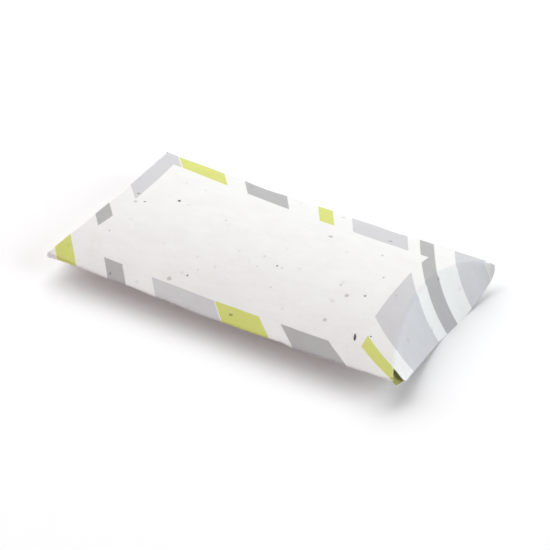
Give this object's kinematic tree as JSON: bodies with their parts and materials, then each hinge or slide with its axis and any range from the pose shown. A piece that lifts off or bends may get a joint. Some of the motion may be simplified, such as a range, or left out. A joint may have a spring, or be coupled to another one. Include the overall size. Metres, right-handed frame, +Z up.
{
  "type": "pillow box",
  "caption": "Pillow-shaped folding paper box: a curved sleeve with concave end flaps that fold on curved score lines.",
  "frame": {"origin": "under the middle of the box, on the flat strip of its underside that it rests on", "axes": "+X along the long folded edges, +Y across the box towards the glued seam, +Z up"},
  "size_m": [0.1404, 0.0744, 0.0186],
  "materials": {
    "printed_paper": "matte seed paper, printed with grey and lime stripes",
    "flap_paper": "matte seed paper, unprinted",
    "scored_paper": "matte seed paper, pressed along a score",
    "tab_paper": "matte seed paper, unprinted",
    "adhesive": "dry white glue film"
  },
  "bodies": {
    "sleeve": {"top_panel": "printed_paper", "bottom_panel": "printed_paper", "fold_edge": "printed_paper", "seam_edge": "printed_paper", "glue_tab": "tab_paper", "glue_line": "adhesive", "right_outer_crease": "scored_paper", "right_inner_crease": "scored_paper", "left_outer_crease": "scored_paper", "left_inner_crease": "scored_paper"},
    "right_outer_flap": {"right_outer_flap": "printed_paper"},
    "left_outer_flap": {"left_outer_flap": "printed_paper"},
    "right_inner_flap": {"right_inner_flap": "flap_paper"},
    "left_inner_flap": {"left_inner_flap": "flap_paper"}
  },
  "joints": [
    {"name": "right_outer_fold", "type": "hinge", "parent": "sleeve", "child": "right_outer_flap", "pos_m": [0.05875, 0, 0.0186], "axis": [0, -1, 0], "range_deg": [0, 85]},
    {"name": "right_inner_fold", "type": "hinge", "parent": "sleeve", "child": "right_inner_flap", "pos_m": [0.05875, 0, 0], "axis": [0, 1, 0], "range_deg": [0, 76.5]},
    {"name": "left_outer_fold", "type": "hinge", "parent": "sleeve", "child": "left_outer_flap", "pos_m": [-0.05875, 0, 0.0186], "axis": [0, 1, 0], "range_deg": [0, 85]},
    {"name": "left_inner_fold", "type": "hinge", "parent": "sleeve", "child": "left_inner_flap", "pos_m": [-0.05875, 0, 0], "axis": [0, -1, 0], "range_deg": [0, 76.5]}
  ],
  "couplings": [
    {"joint": "right_inner_fold", "follows": "right_outer_fold", "ratio": 0.9},
    {"joint": "left_inner_fold", "follows": "left_outer_fold", "ratio": 0.9}
  ]
}
